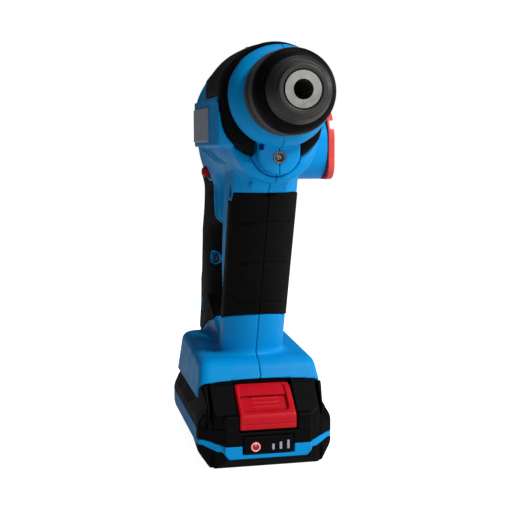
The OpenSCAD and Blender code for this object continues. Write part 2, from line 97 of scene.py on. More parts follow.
# Driving sizes
BARREL_UNDER = 166.6
BARREL_BACK = 211.5
STRUT_SLOPE = 0.365
STRUT_HALF = 19.2
STRUT_FRONT_R = 23
FOOT_TOP = 59.0
FOOT_Z = 38.0
BOSS_Z = 184.0
NOSE_BACK = 61.6
SEAT_BACK = 61.9
BELL_R = 28.3
FRAME_OUT = 32.4
FRAME_TAPER = 0.014
SPLIT_Z = 24.0
CASE_HALF = 40.7
CASE_BACK = 195
# Depth and height of each housing screw; the first four wells have a raised rim
SCREWS = [(176, 114), (208, 78), (92, 161.5), (118, 98), (73, 238.5), (193, 212)]
SCREW_WELL_R = 3.9
TRIGGER_ZONE = ((-30, 120, 136.5), (30, 163.5, 166))
TRIGGER_SLOT = ((-8.2, 140, 133.6), (8.2, 174.5, 161.4))
DIRECTION_SLOT = ((-60, 164.6, 167.1), (60, 175.4, 174.9))
PAD_OUT = 0.5
PAD_IN = 1.6
PAD_GAP = 0.25
# Sizes of the sampling grid, for the housing and for small pieces
COARSE = 0.75
FINE = 0.4
PAD_STEP = 0.65 * COARSE / 0.75
CASE_STEP = 0.6 * COARSE / 0.75
BAND_STEP = 0.55 * COARSE / 0.75
SMALL = FINE * 0.5


# ---------- camera, floor and light ----------


# The camera as fitted to the photo: place in metres, then yaw, pitch and roll in degrees
CAMERA_PLACE = (-0.1262, -0.6062, 0.1853)
CAMERA_TURN = (12.2, 6.1, -0.2)
CAMERA_LENS_MM = 69.66
AMBIENT = 0.065
FLOOR_HALF = 6.0
FLOOR_DROP = 0.0004


def add_camera():
    data = bpy.data.cameras.new("camera")
    data.lens = CAMERA_LENS_MM
    data.sensor_width = 36
    data.clip_end = 20
    camera = bpy.data.objects.new("camera", data)
    yaw, pitch, roll = (math.radians(a) for a in CAMERA_TURN)
    turn = Matrix.Rotation(-yaw, 4, "Z") @ Matrix.Rotation(math.pi / 2 - pitch, 4, "X")
    turn = turn @ Matrix.Rotation(roll, 4, "Z")
    camera.matrix_world = Matrix.Translation(CAMERA_PLACE) @ turn
    bpy.context.collection.objects.link(camera)
    bpy.context.scene.camera = camera


def add_area(name, place, target, size, power):
    data = bpy.data.lights.new(name, "AREA")
    data.shape = "DISK"
    data.size = size
    data.energy = power
    light = bpy.data.objects.new(name, data)
    aim = Vector(target) - Vector(place)
    light.location = place
    light.rotation_euler = aim.to_track_quat("-Z", "Y").to_euler()
    bpy.context.collection.objects.link(light)


def glow_for_camera(tree, strength, seen_strength):
    """The backdrop is seen nearly white, but lights the object only softly."""
    seen = tree.nodes.new("ShaderNodeLightPath").outputs["Is Camera Ray"]
    glow = tree.nodes.new("ShaderNodeMapRange")
    glow.inputs["To Min"].default_value = AMBIENT
    glow.inputs["To Max"].default_value = seen_strength
    tree.links.new(seen, glow.inputs["Value"])
    tree.links.new(glow.outputs["Result"], strength)


def add_stage():
    mesh = bpy.data.meshes.new("floor")
    corners = [(x * FLOOR_HALF, y * FLOOR_HALF, 0) for x, y in ((-1, -1), (1, -1), (1, 1), (-1, 1))]
    mesh.from_pydata([Vector(c) for c in corners], [], [(0, 1, 2, 3)])
    floor = bpy.data.objects.new("floor", mesh)
    floor.location = (0, 0, -FLOOR_DROP)
    bpy.context.collection.objects.link(floor)
    material = bpy.data.materials.new("floor_white")
    material.use_nodes = True
    shader = material.node_tree.nodes["Principled BSDF"]
    shader.inputs["Base Color"].default_value = (0.86, 0.86, 0.86, 1)
    shader.inputs["Roughness"].default_value = 0.8
    shader.inputs["Specular IOR Level"].default_value = 0.1
    shader.inputs["Emission Color"].default_value = (1, 1, 1, 1)
    glow_for_camera(material.node_tree, shader.inputs["Emission Strength"], 0.95)
    mesh.materials.append(material)
    world = bpy.data.worlds.new("studio")
    bpy.context.scene.world = world
    world.use_nodes = True
    background = world.node_tree.nodes["Background"]
    background.inputs["Color"].default_value = (1, 1, 1, 1)
    glow_for_camera(world.node_tree, background.inputs["Strength"], 1.0)
    bpy.context.scene.view_settings.view_transform = "Standard"


def add_lights():
    add_area("key", (0.75, -0.9, 1.15), (0, -0.02, 0.13), 0.5, 20)
    add_area("front_fill", (0.5, -1.5, 0.35), (0, 0, 0.12), 0.8, 4)
    add_area("right_rim", (1.2, 0.1, 0.5), (0, 0, 0.15), 0.6, 3.8)
    add_area("top", (0.1, 0.1, 1.5), (0, 0, 0.1), 0.8, 3)


# ---------- fields: each returns its distance, below zero inside ----------


def smin(a, b, k):
    h = np.clip(0.5 + 0.5 * (b - a) / k, 0, 1)
    return b * (1 - h) + a * h - k * h * (1 - h)


def smax(a, b, k):
    return -smin(-a, -b, k)


def cut(a, b, k=0.0):
    """a with b taken out of it."""
    return smax(a, -b, k) if k else np.maximum(a, -b)


def box(p, low, high, r=0.0):
    center = [(l + h) / 2 for l, h in zip(low, high)]
    half = [(h - l) / 2 - r for l, h in zip(low, high)]
    q = [np.abs(v - c) - s for v, c, s in zip(p, center, half)]
    outside = np.sqrt(sum(np.maximum(v, 0) ** 2 for v in q))
    return outside + np.minimum(np.maximum(np.maximum(q[0], q[1]), q[2]), 0) - r


def rounded_pair(radial, along, r):
    """A flat-ended round solid from its radial and endwise distances, with its rim rounded."""
    a, b = radial + r, along + r
    outside = np.sqrt(np.maximum(a, 0) ** 2 + np.maximum(b, 0) ** 2)
    return outside + np.minimum(np.maximum(a, b), 0) - r


def cylinder_d(p, r, start, end, x=0.0, z=None, rim=0.0):
    z = AXIS_Z if z is None else z
    radial = np.hypot(p[0] - x, p[2] - z) - r
    return rounded_pair(radial, np.maximum(start - p[1], p[1] - end), rim)


def cylinder_x(p, r, start, end, d, z):
    radial = np.hypot(p[1] - d, p[2] - z) - r
    return rounded_pair(radial, np.maximum(start - p[0], p[0] - end), 0.0)


def nowhere(like):
    """An empty field, to which pieces are added one by one."""
    return np.full_like(like, 99.0)


def ease(t, knots):
    """A smooth curve through (t, value) pairs, flat beyond both ends."""
    ts = np.array([k[0] for k in knots], float)
    vs = np.array([k[1] for k in knots], float)
    slopes = np.gradient(vs, ts)
    step = np.diff(vs) / np.diff(ts)
    for i in range(1, len(ts) - 1):
        if step[i - 1] * step[i] <= 0:
            slopes[i] = 0.0
    t = np.clip(t, ts[0], ts[-1])
    i = np.clip(np.searchsorted(ts, t) - 1, 0, len(ts) - 2)
    gap = ts[i + 1] - ts[i]
    u = (t - ts[i]) / gap
    return (
        vs[i] * (1 + 2 * u) * (1 - u) ** 2
        + vs[i + 1] * u * u * (3 - 2 * u)
        + slopes[i] * gap * u * (1 - u) ** 2
        + slopes[i + 1] * gap * u * u * (u - 1)
    )


def hull_of_circles(x, z, z_low, r_low, z_high, r_high):
    """Distance to the outline wrapped round two circles, one above the other."""
    h = z_high - z_low
    b = (r_low - r_high) / h
    a = np.sqrt(1 - b * b)
    ax, az = np.abs(x), z - z_low
    k = -b * ax + a * az
    low = np.hypot(ax, az) - r_low
    high = np.hypot(ax, az - h) - r_high
    side = a * ax + b * az - r_low
    return np.where(k < 0, low, np.where(k > a * h, high, side))


# ---------- the housing's outer shape ----------


def barrel(p, grow=0.0):
    x, d, z = p
    narrowing = [(125, 30.1), (150, 29.2), (165, 28), (180, 25), (198, 18), (212, 13)]
    dropping = [(100, 213.2), (125, 211.2), (150, 209), (180, 205), (212, 198)]
    r_high = ease(d, [(56, 30.5), (95, 30.7), *narrowing])
    z_high = ease(d, [(56, 211.6), (80, 213.2), *dropping])
    r_low = ease(d, [(56, 24.5), (75, 25), (95, 27), (150, 25.4), (180, 21), (212, 16.5)])
    z_low = BARREL_UNDER + r_low
    section = hull_of_circles(x, z, z_low, r_low + grow, z_high, r_high + grow)
    f = smax(section, d - BARREL_BACK - grow, 16)
    front = ease(z, [(178, 57), (190, 62)])
    return smax(f, front - grow - d, ease(z, [(178, 5), (190, 0.6)]))


def strut_depth(p):
    """Depth behind the strut's foremost line."""
    return p[1] - (76 + (161 - p[2]) * STRUT_SLOPE)


def strut(p, grow=0.0):
    x, _, z = p
    d = strut_depth(p)
    back = ease(z, [(60, 27), (94, 25.5), (120, 34), (140, 38), (160, 43), (170, 48)])
    front = np.hypot(x, d - STRUT_FRONT_R) - STRUT_FRONT_R
    sides = np.abs(x) - STRUT_HALF
    f = smax(smax(front, sides, 1.2), d - back, 7) * 0.94 - grow
    ledge = box((x, d, z), (-11, -0.7, 162.6), (11, 8, 167.5), 2) - grow
    f = smin(f, ledge, 1.5)
    return smax(smax(f, z - 176, 1), 50 - z, 1)


def grip(p, grow=0.0):
    x, d, z = p
    center = ease(z, [(50, 205), (62, 205), (80, 202.5), (105, 200), (125, 196.5), (143, 191), (175, 182)])
    deep = ease(z, [(50, 30), (62, 30.5), (80, 29), (105, 29), (140, 26.8), (175, 27)])
    wide = ease(z, [(55, 17.8), (80, 17), (120, 17.1), (150, 16.3), (175, 17)])
    q = np.cbrt(np.abs(x / wide) ** 3 + np.abs((d - center) / deep) ** 3)
    f = (q - 1) * wide - grow
    shroud = box(p, (-14.2, 152, 138.5), (14.2, 186, 178), 6) - grow
    f = smin(f, shroud, 5)
    return smax(smax(f, z - 190, 1), 50 - z - grow, 8)


def spine(p):
    """The raised floor of the hand hole, between strut and grip."""
    top = ease(p[1], [(118, 57), (135, 62), (160, 72), (178, 84)])
    f = smax(np.abs(p[0]) - 16.2, p[2] - top, 3)
    return smax(smax(f, 118 - p[1], 2), p[1] - 185, 2)


def foot(p):
    x, d, z = p
    half = 38.5 - 0.16 * (z - FOOT_Z)
    front = 98.6 + 0.5 * np.maximum(z - 46, 0) - 0.9 * np.cos(np.clip(x / 38, -1, 1) * math.pi / 2)
    f = smax(np.abs(x) - half, front - d, 6)
    f = smax(f, d - 190, 7)
    top = ease(d, [(105, FOOT_TOP), (133, FOOT_TOP + 1.8), (175, FOOT_TOP + 4.5)])
    f = smax(f, z - top, 6)
    return smax(f, FOOT_Z - z, 0.8)


def knob_outline(d, z, corner=9):
    """The knob is square-shouldered below and narrows above its notch."""
    half = ease(z, [(-22, 21.8), (2, 21.8), (8, 20.8), (14, 17.8), (21, 14.6)])
    return smax(np.abs(d) - half, np.maximum(z - KNOB_R + 0.2, 1.2 - KNOB_R - z), corner)


def knob_boss(p):
    outline = knob_outline(p[1] - KNOB[1], p[2] - KNOB[2], 20)
    f = smax(outline, p[0] - KNOB[0] + 2.4, 0.8)
    return np.maximum(f, 12 - p[0])


def side_frame(p):
    x, d, z = p
    f = smax(frame_face(d) - x, x + 12, 0.5)
    f = smax(f, np.maximum(187 - z, z - 214.2), 1.2)
    f = smax(f, np.maximum(56 - d, d - 147), 1.2)
    f = np.maximum(f, np.where(d < 62.5, 32.3 - np.hypot(x, z - BARREL_Z), -1))
    for rib in (67, 75.5, 84):
        groove = box(p, (-40, rib - 0.9, 189.5), (frame_face(rib) + 1.4, rib + 0.9, 210.5), 0.3)
        f = cut(f, groove, 0.4)
    return f


def frame_face(depth):
    """Where the side frame's flat face lies, on the left."""
    return -(FRAME_OUT - FRAME_TAPER * (depth - 66))


def body_outer(p):
    f = smin(barrel(p), strut(p), 3)
    f = smin(f, grip(p), 14)
    base = smin(foot(p), strut(p), 5)
    base = smin(base, spine(p), 3)
    f = np.minimum(f, base)
    f = smin(f, smin(base, grip(p), 6), 0.5)
    f = smin(f, knob_boss(p), 1.6)
    return smin(f, side_frame(p), 0.8)


# ---------- what is cut out of the housing ----------


def bumper_radius(p):
    """The bumper reaches further out low down, where it meets the bowl, and less on the knob's side."""
    x, z = p[0], p[2]
    reach = ease(z, [(188, 34.7), (194, 34.3), (205, 32.0), (225, 31.0), (238, 30)])
    knob_side = ease(z, [(184, 0.4), (190, 1.4), (197, 3.2), (206, 2.6), (216, 0)])
    return reach - knob_side * np.clip(x / 20, 0, 1)


def nose_room(p):
    """The round seat for nose housing and bumper, and the valley round the lamp boss."""
    radial = np.hypot(p[0], p[2] - BARREL_Z) - bumper_radius(p) - 0.2
    behind = p[1] - SEAT_BACK
    seat = np.maximum(radial, behind)
    seat = np.where(p[2] < 180, 99.0, seat)
    valley = smax(np.hypot(p[0], p[2] - BOSS_Z - 0.6) - 14.2, behind, 0.5)
    throat = smax(np.abs(p[0]) - 14.2, np.maximum(behind, BOSS_Z - p[2]), 0.5)
    return np.minimum(seat, np.minimum(valley, np.maximum(throat, p[2] - 200)))


def arch_height(x):
    """The lower edge of the foot's front wall."""
    return 48.3 - 0.0017 * x**2


def battery_room(p):
    x, d, z = p
    mouth = smax(smax(np.abs(x) - 37.4, z - arch_height(x), 5), d - 103.8, 0.5)
    inner = smax(smax(np.abs(x) - 34.4, z - 46.8, 3), d - 112, 0.5)
    low = box(p, (-31.3, 80, 20), (31.3, 187, 40.4))
    rail = box(p, (-28.3, 80, 30), (28.3, 187, 44))
    top = np.maximum(box(p, (-31.3, 80, 43.2), (31.3, 187, 60)), z - arch_height(x))
    latch = box(p, (-13, 103.3, 40), (13, 110.5, 54))
    return np.minimum.reduce([mouth, inner, low, rail, top, latch])


def side_slots(p):
    """Slanted cooling slots below and behind the side frame, on both sides."""
    d, z = p[1], p[2]
    f = nowhere(d)
    # Each row: count, first depth, lowest and highest z, pitch, lean, half width, distance out
    lower = (3, 93, 177.3, 186.3, 12, 4.3, 0.35, -p[0])
    middle_row = (5, 122, 215.5, 223.5, 6.5, 0.6, 0.9, np.abs(p[0]))
    rear = (5, 154, 192, 209, 7, 0.6, 1.2, np.abs(p[0]))
    for count, start, low, high, pitch, lean, half, out in (lower, middle_row, rear):
        for i in range(count):
            slant = (d - (z - low) * lean - (start + pitch * i)) / math.hypot(1, lean)
            slot = smax(np.abs(slant) - half, np.abs(z - (low + high) / 2) - (high - low) / 2, 0.5)
            f = np.minimum(f, np.maximum(slot, 14 - out))
    return np.maximum(f, -barrel(p) - 1.6)


def room_inside(p):
    """The hollow that the mechanism sits in."""
    room = np.maximum(barrel(p, -2.8), 61 - p[1])
    room = np.minimum(room, cylinder_d(p, 24, 60, 70, 0, BARREL_Z))
    gears = cylinder_d(p, 21.8, 102.5, 112.5, 0, COUNTER_Z)
    knob = cylinder_x(p, 12, 10, KNOB[0] - 8, KNOB[1], KNOB[2])
    switch = box(p, (-9.5, 172, 130), (9.5, 199, 164))
    shaft = cylinder_x(p, 6.1, 10, 60, KNOB[1], KNOB[2])
    return np.minimum.reduce([room, gears, knob, shaft, switch])


def screw_wells(p):
    f = nowhere(p[0])
    for d, z in SCREWS:
        f = np.minimum(f, cylinder_x(p, SCREW_WELL_R, -60, -9, d, z))
    return f


def housing(p):
    f = body_outer(p)
    trigger_zone = box(p, *TRIGGER_ZONE, r=9)
    # A raised blue lip runs round the trigger zone
    lip = np.maximum(np.abs(trigger_zone) - 1.3, grip(p, 1.2))
    f = smin(f, np.maximum(lip, -barrel(p)), 0.8)
    f = smin(f, np.maximum(well_rims(p), grip(p, 0.8)), 0.8)
    f = cut(f, nose_room(p), 1.0)
    f = cut(f, battery_room(p), 0.5)
    f = cut(f, box(p, *TRIGGER_SLOT, r=1.5), 0.8)
    f = cut(f, box(p, *DIRECTION_SLOT, r=2.5), 0.6)
    f = cut(f, side_slots(p), 0.5)
    f = cut(f, screw_wells(p), 0.5)
    return cut(f, room_inside(p))


def well_rims(p):
    """The blue rims of the screw wells that come up through the rubber."""
    f = nowhere(p[0])
    for d, z in SCREWS[:4]:
        ring = np.abs(np.hypot(p[1] - d, p[2] - z) - SCREW_WELL_R - 0.5) - 0.5
        f = np.minimum(f, np.maximum(ring, p[0] + 10))
    return f


# ---------- meshes from fields ----------

CORNERS = [(i, j, k) for i in (0, 1) for j in (0, 1) for k in (0, 1)]


def in_slabs(field, grid, count=16):
    """The field over the grid, worked out in slabs on all cores."""
    slabs = np.array_split(np.arange(grid[0].shape[1]), count)
    slabs = [s for s in slabs if len(s)]
    with ThreadPoolExecutor(4) as pool:
        done = pool.map(lambda s: field([g[:, s] for g in grid]).astype(np.float32), slabs)
        return np.concatenate(list(done), axis=1)


def surface_net(field, low, high, step):
    """Vertices and quads of the zero surface of field inside a box."""
    axes = [np.arange(l, h + step, step, dtype=np.float32) for l, h in zip(low, high)]
    grid = np.meshgrid(*axes, indexing="ij", sparse=False)
    f = in_slabs(field, grid)
    inside = f < 0
    shape = tuple(n - 1 for n in f.shape)
    count = np.zeros(shape, np.uint8)
    for i, j, k in CORNERS:
        count += inside[i : i + shape[0], j : j + shape[1], k : k + shape[2]]
    active = (count > 0) & (count < 8)
    cells = np.argwhere(active)
    index = np.full(shape, -1, np.int64)
    index[active] = np.arange(len(cells))
    total = np.zeros((len(cells), 3))
    hits = np.zeros(len(cells))
    for a in CORNERS:
        for axis in range(3):
            if a[axis]:
                continue
            b = list(a)
            b[axis] = 1
            fa = f[tuple((cells + a).T)]
            fb = f[tuple((cells + b).T)]
            cross = (fa < 0) != (fb < 0)
            t = fa / np.where(cross, fa - fb, 1)
            point = np.array(a, float) + np.zeros((len(cells), 1))
            point[:, axis] = t
            total += np.where(cross[:, None], point, 0)
            hits += cross
    points = (cells + total / hits[:, None]) * step + np.array([a[0] for a in axes])
    quads = []
    for axis in range(3):
        u, v = (axis + 1) % 3, (axis + 2) % 3
        first = [slice(None)] * 3
        second = [slice(None)] * 3
        first[axis], second[axis] = slice(0, -1), slice(1, None)
        starts, ends = inside[tuple(first)], inside[tuple(second)]
        for flip, where in ((False, starts & ~ends), (True, ~starts & ends)):
            edges = np.argwhere(where)
            edges = edges[(edges[:, u] > 0) & (edges[:, v] > 0)]
            edges = edges[(edges[:, u] < shape[u]) & (edges[:, v] < shape[v])]
            ring = []
            for du, dv in ((-1, -1), (0, -1), (0, 0), (-1, 0)):
                cell = edges.copy()
                cell[:, u] += du
                cell[:, v] += dv
                ring.append(index[tuple(cell.T)])
            quad = np.stack(ring, 1)
            quads.append(quad[:, ::-1] if flip else quad)
    quads = np.concatenate(quads)
    return points, quads[(quads >= 0).all(1)]


def settle(field, points, step, passes=3):
    """Moves points onto the zero surface along the field's slope."""
    e = 0.15 * step
    offsets = np.array([(1, -1, -1), (-1, -1, 1), (-1, 1, -1), (1, 1, 1)], float)
    for _ in range(passes):
        here = field(list(points.T))
        slope = sum(o * field(list((points + e * o).T))[:, None] for o in offsets) / (4 * e)
        size = np.maximum((slope**2).sum(1), 0.05)
        move = slope * (here / size)[:, None]
        length = np.linalg.norm(move, axis=1)[:, None]
        points = points - move * np.minimum(1, 0.5 * step / np.maximum(length, 1e-9))
    return points


def mesh_object(name, points, faces):
    world = np.array(points, float) * MM
    world[:, 1] += FRONT_Y
    mesh = bpy.data.meshes.new(name)
    mesh.vertices.add(len(world))
    mesh.vertices.foreach_set("co", world.astype(np.float32).ravel())
    faces = np.asarray(faces)
    corners = faces.shape[1]
    mesh.loops.add(faces.size)
    mesh.loops.foreach_set("vertex_index", faces.ravel().astype(np.int32))
    mesh.polygons.add(len(faces))
    mesh.polygons.foreach_set("loop_start", np.arange(0, faces.size, corners, dtype=np.int32))
    mesh.update(calc_edges=True)
    mesh.validate()
    mesh.shade_smooth()
    obj = bpy.data.objects.new(name, mesh)
    bpy.context.collection.objects.link(obj)
    return obj


def from_field(name, field, low, high, step, body, nodes, look, slot=None):
    points, quads = surface_net(field, low, high, step)
    points = settle(field, points, step)
    return place(mesh_object(name, points, quads), body, nodes, look, slot)


def place(obj, body, nodes, look, slot=None):
    obj.data.materials.append(LOOKS[look] if isinstance(look, str) else look)
    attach(obj, body)
    if nodes:
        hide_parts(*nodes)
    return obj


def lathe(name, outline, body, nodes, look, segments=128, round_mm=0.35, center_z=None, slot=None):
    """A solid of revolution from (radius, depth) points, its edges rounded."""
    center_z = AXIS_Z if center_z is None else center_z
    corners = soften(outline, round_mm)
    angles = np.linspace(0, 2 * math.pi, segments, endpoint=False)
    r = np.array([c[0] for c in corners])
    d = np.array([c[1] for c in corners])
    x = np.outer(np.cos(angles), r)
    z = np.outer(np.sin(angles), r) + center_z
    points = np.stack([x, np.broadcast_to(d, x.shape), z], 2).reshape(-1, 3)
    n = len(corners)
    faces = []
    for s in range(segments):
        t = (s + 1) % segments
        for i in range(n):
            j = (i + 1) % n
            faces.append((s * n + i, t * n + i, t * n + j, s * n + j))
    obj = mesh_object(name, points, faces)
    fix_normals(obj)
    return place(obj, body, nodes, look, slot)


def soften(outline, r):
    """The outline with each corner replaced by a small arc of points."""
    result = []
    n = len(outline)
    for i in range(n):
        a, b, c = (np.array(outline[(i + o) % n], float) for o in (-1, 0, 1))
        back, on = a - b, c - b
        reach = min(r, 0.45 * np.linalg.norm(back), 0.45 * np.linalg.norm(on))
        p = b + back / np.linalg.norm(back) * reach
        q = b + on / np.linalg.norm(on) * reach
        for t in (0, 0.33, 0.67, 1):
            result.append((1 - t) ** 2 * p + 2 * t * (1 - t) * b + t * t * q)
    return result


def fix_normals(obj):
    work = bmesh.new()
    work.from_mesh(obj.data)
    bmesh.ops.recalc_face_normals(work, faces=work.faces)
    work.to_mesh(obj.data)
    work.free()
    obj.data.shade_smooth()


# ---------- materials ----------


class Nodes:
    """Short calls for one material's node tree."""

    def __init__(self, name):
        self.material = bpy.data.materials.new(name)
        self.material.use_nodes = True
        self.tree = self.material.node_tree
        self.shader = self.tree.nodes["Principled BSDF"]
        self.place = self.tree.nodes.new("ShaderNodeTexCoord").outputs["Object"]

    def add(self, kind, **values):
        node = self.tree.nodes.new(kind)
        for key, value in values.items():
            setattr(node, key, value)
        return node

    def link(self, a, b):
        self.tree.links.new(a, b)

    def stretched(self, scale):
        node = self.add("ShaderNodeMapping")
        node.inputs["Scale"].default_value = scale
        self.link(self.place, node.inputs["Vector"])
        return node.outputs["Vector"]

    def noise(self, scale, detail=3.0, where=None):
        node = self.add("ShaderNodeTexNoise")
        node.inputs["Scale"].default_value = scale
        node.inputs["Detail"].default_value = detail
        self.link(where or self.place, node.inputs["Vector"])
        return node.outputs["Fac"]

    def span(self, value, low, high, to_low=0.0, to_high=1.0):
        node = self.add("ShaderNodeMapRange")
        for key, number in zip(("From Min", "From Max", "To Min", "To Max"), (low, high, to_low, to_high)):
            node.inputs[key].default_value = number
        self.link(value, node.inputs["Value"])
        return node.outputs["Result"]

    def times(self, a, b):
        node = self.add("ShaderNodeMath", operation="MULTIPLY")
        self.link(a, node.inputs[0])
        if isinstance(b, float):
            node.inputs[1].default_value = b
        else:
            self.link(b, node.inputs[1])
        return node.outputs[0]

    def mix(self, factor, a, b):
        node = self.add("ShaderNodeMix", data_type="RGBA")
        self.link(factor, node.inputs["Factor"])
        for value, socket in ((a, node.inputs["A"]), (b, node.inputs["B"])):
            if isinstance(value, tuple):
                socket.default_value = (*value, 1)
            else:
                self.link(value, socket)
        return node.outputs["Result"]

    def bump(self, height, depth_mm, strength=1.0, under=None):
        node = self.add("ShaderNodeBump")
        node.inputs["Distance"].default_value = depth_mm * MM
        node.inputs["Strength"].default_value = strength
        self.link(height, node.inputs["Height"])
        if under:
            self.link(under, node.inputs["Normal"])
        return node.outputs["Normal"]

    def edges(self):
        """Near 1 on outward edges, broken up by noise."""
        point = self.add("ShaderNodeNewGeometry").outputs["Pointiness"]
        return self.times(self.span(point, 0.52, 0.62), self.span(self.noise(350), 0.4, 0.65))


def shade(color, factor):
    return tuple(min(c * factor, 1) for c in color)


def surface(
    name, color, rough, grain_mm=0.35, grain_depth=0.03, mottle=0.12, wear=0.35, metallic=0.0, gloss=0.5
):
    """A moulded, cast or rubber surface: soft colour drift, fine grain, rubbed edges and a little dust."""
    n = Nodes(name)
    drift = n.span(n.noise(28, 4), 0.3, 0.7)
    base = n.mix(drift, shade(color, 1 - mottle), shade(color, 1 + mottle))
    specks = n.span(n.noise(900, 2), 0.66, 0.74)
    base = n.mix(n.times(specks, 0.25), base, tuple(0.85 * c + 0.006 for c in color))
    lighter = tuple(min(1, c * 1.4 + 0.012) for c in color)
    base = n.mix(n.times(n.edges(), wear), base, lighter)
    n.link(base, n.shader.inputs["Base Color"])
    n.link(n.span(n.noise(90, 5), 0.3, 0.7, rough - 0.07, rough + 0.07), n.shader.inputs["Roughness"])
    fine = n.bump(n.noise(1000 / grain_mm, 2), grain_depth, 0.6)
    n.link(n.bump(n.noise(60, 2), 0.05, 0.25, fine), n.shader.inputs["Normal"])
    n.shader.inputs["Metallic"].default_value = metallic
    n.shader.inputs["Specular IOR Level"].default_value = gloss
    return n.material


def turned_metal(name, color, rough=0.3):
    """Machined metal with fine turning lines round the spindle's direction."""
    n = Nodes(name)
    split = n.add("ShaderNodeSeparateXYZ")
    shifted = n.add("ShaderNodeMapping")
    shifted.inputs["Location"].default_value = (0, 0, -AXIS_Z * MM)
    n.link(n.place, shifted.inputs["Vector"])
    n.link(shifted.outputs["Vector"], split.inputs["Vector"])
    squares = [n.times(split.outputs[a], split.outputs[a]) for a in ("X", "Z")]
    total = n.add("ShaderNodeMath", operation="ADD")
    n.link(squares[0], total.inputs[0])
    n.link(squares[1], total.inputs[1])
    root = n.add("ShaderNodeMath", operation="SQRT")
    n.link(total.outputs[0], root.inputs[0])
    rings = n.add("ShaderNodeCombineXYZ")
    n.link(root.outputs[0], rings.inputs["X"])
    n.link(split.outputs["Y"], rings.inputs["Y"])
    lines = n.noise(4500, 2, rings.outputs["Vector"])
    base = n.mix(n.span(n.noise(60, 4), 0.3, 0.7), shade(color, 0.8), shade(color, 1.1))
    base = n.mix(n.times(n.edges(), 0.5), base, shade(color, 1.4))
    n.link(base, n.shader.inputs["Base Color"])
    n.link(n.span(lines, 0.3, 0.7, rough - 0.08, rough + 0.12), n.shader.inputs["Roughness"])
    n.link(n.bump(lines, 0.02, 0.5), n.shader.inputs["Normal"])
    n.shader.inputs["Metallic"].default_value = 1.0
    return n.material


def clear_plastic(name):
    n = Nodes(name)
    n.link(n.mix(n.noise(300), (0.9, 0.92, 0.95), (1, 1, 0.97)), n.shader.inputs["Base Color"])
    n.link(n.span(n.noise(200), 0.3, 0.7, 0.04, 0.12), n.shader.inputs["Roughness"])
    n.shader.inputs["Transmission Weight"].default_value = 0.9
    n.shader.inputs["IOR"].default_value = 1.49
    return n.material


def windings(name, color):
    """Enamelled copper wire laid side by side."""
    n = Nodes(name)
    where = n.stretched((1, 0.08, 1))
    strands = n.noise(1600, 1, where)
    base = n.mix(n.span(strands, 0.35, 0.6), shade(color, 0.45), shade(color, 1.2))
    n.link(base, n.shader.inputs["Base Color"])
    n.link(n.span(strands, 0.3, 0.7, 0.25, 0.45), n.shader.inputs["Roughness"])
    n.link(n.bump(strands, 0.25, 0.8), n.shader.inputs["Normal"])
    n.shader.inputs["Metallic"].default_value = 0.8
    return n.material


BLUE = (0.0, 0.275, 0.66)
RED = (0.52, 0.002, 0.011)
RUBBER = (0.0022, 0.0021, 0.0019)
CASE_BLACK = (0.0014, 0.0014, 0.0015)

LOOKS = {
    "blue_plastic": surface("blue_plastic_look", BLUE, 0.42, 0.45, 0.022, 0.05, 0.1, 0, 0.1),
    "black_rubber": surface("black_rubber_look", RUBBER, 0.62, 0.3, 0.04, 0.2, 0.2, 0, 0.06),
    "black_plastic": surface("black_plastic_look", CASE_BLACK, 0.5, 0.4, 0.03, 0.15, 0.25, 0, 0.06),
    "dark_metal": surface("dark_metal_look", (0.09, 0.09, 0.095), 0.42, 0.5, 0.03, 0.2, 0.5, 0.9),
    "red_plastic": surface("red_plastic_look", RED, 0.4, 0.5, 0.02, 0.06, 0.15, 0, 0.15),
    "steel": turned_metal("steel_look", (0.27, 0.265, 0.255), 0.5),
    "aluminium": turned_metal("aluminium_look", (0.72, 0.73, 0.75), 0.38),
    "magnet": surface("magnet_look", (0.05, 0.05, 0.055), 0.6, 0.6, 0.05, 0.2, 0.3, 0.3),
    "carbon": surface("carbon_look", (0.02, 0.02, 0.022), 0.7, 0.3, 0.05, 0.3, 0.3),
    "copper": turned_metal("copper_look", (0.72, 0.33, 0.18), 0.3),
    "winding": windings("winding_look", (0.62, 0.22, 0.08)),
    "white_plastic": surface("white_plastic_look", (0.75, 0.75, 0.72), 0.45, 0.4, 0.02, 0.05, 0.1),
    "clear_lens": clear_plastic("clear_lens_look"),
    "label_grey": surface("label_grey_look", (0.33, 0.34, 0.42), 0.38, 0.5, 0.01, 0.06, 0.1),
    "cell_wrap": surface("cell_wrap_look", (0.05, 0.32, 0.18), 0.32, 0.8, 0.01, 0.08, 0.1),
    "circuit_board": surface("circuit_board_look", (0.01, 0.12, 0.05), 0.4, 0.4, 0.03, 0.25, 0.2),
}
# Dark brown that stands in for warm light reflected off the chuck's ring and sleeve: painted sheen, not the
# parts' own colour
WARM_SHEEN_BROWN = surface("ring_painted_sheen_look", (0.045, 0.036, 0.034), 0.5, 0.35, 0.03, 0.15, 0.3, 0, 0.4)
RIBBED_RUBBER = surface("ribbed_rubber_look", (0.010, 0.0098, 0.0095), 0.6, 0.3, 0.04, 0.2, 0.2, 0, 0.2)
CAP_RUBBER = surface("cap_rubber_look", (0.014, 0.013, 0.013), 0.45, 0.35, 0.03, 0.15, 0.3, 0, 0.4)
KNOB_RED = surface("knob_red_look", (0.70, 0.055, 0.045), 0.38, 0.5, 0.02, 0.06, 0.2, 0, 0.25)


# ---------- rubber pads: thin shells over the housing, kept as a field of their own ----------


def pad_shell(p):
    f = body_outer(p)
    return np.maximum(f - PAD_OUT, -f - PAD_IN)


def strut_mask(p):
    d, z = strut_depth(p), p[2]
    back = ease(z, [(88, 18.8), (104, 17.8), (119, 17.4), (141, 17.5), (160, 18.3)])
    f = smax(d - back, 87 - 0.25 * d - z, 1)
    f = smax(f, z - 160.6, 1)
    return np.maximum(f, -cylinder_x(p, 6.4, -60, -9, 92, 161.5))


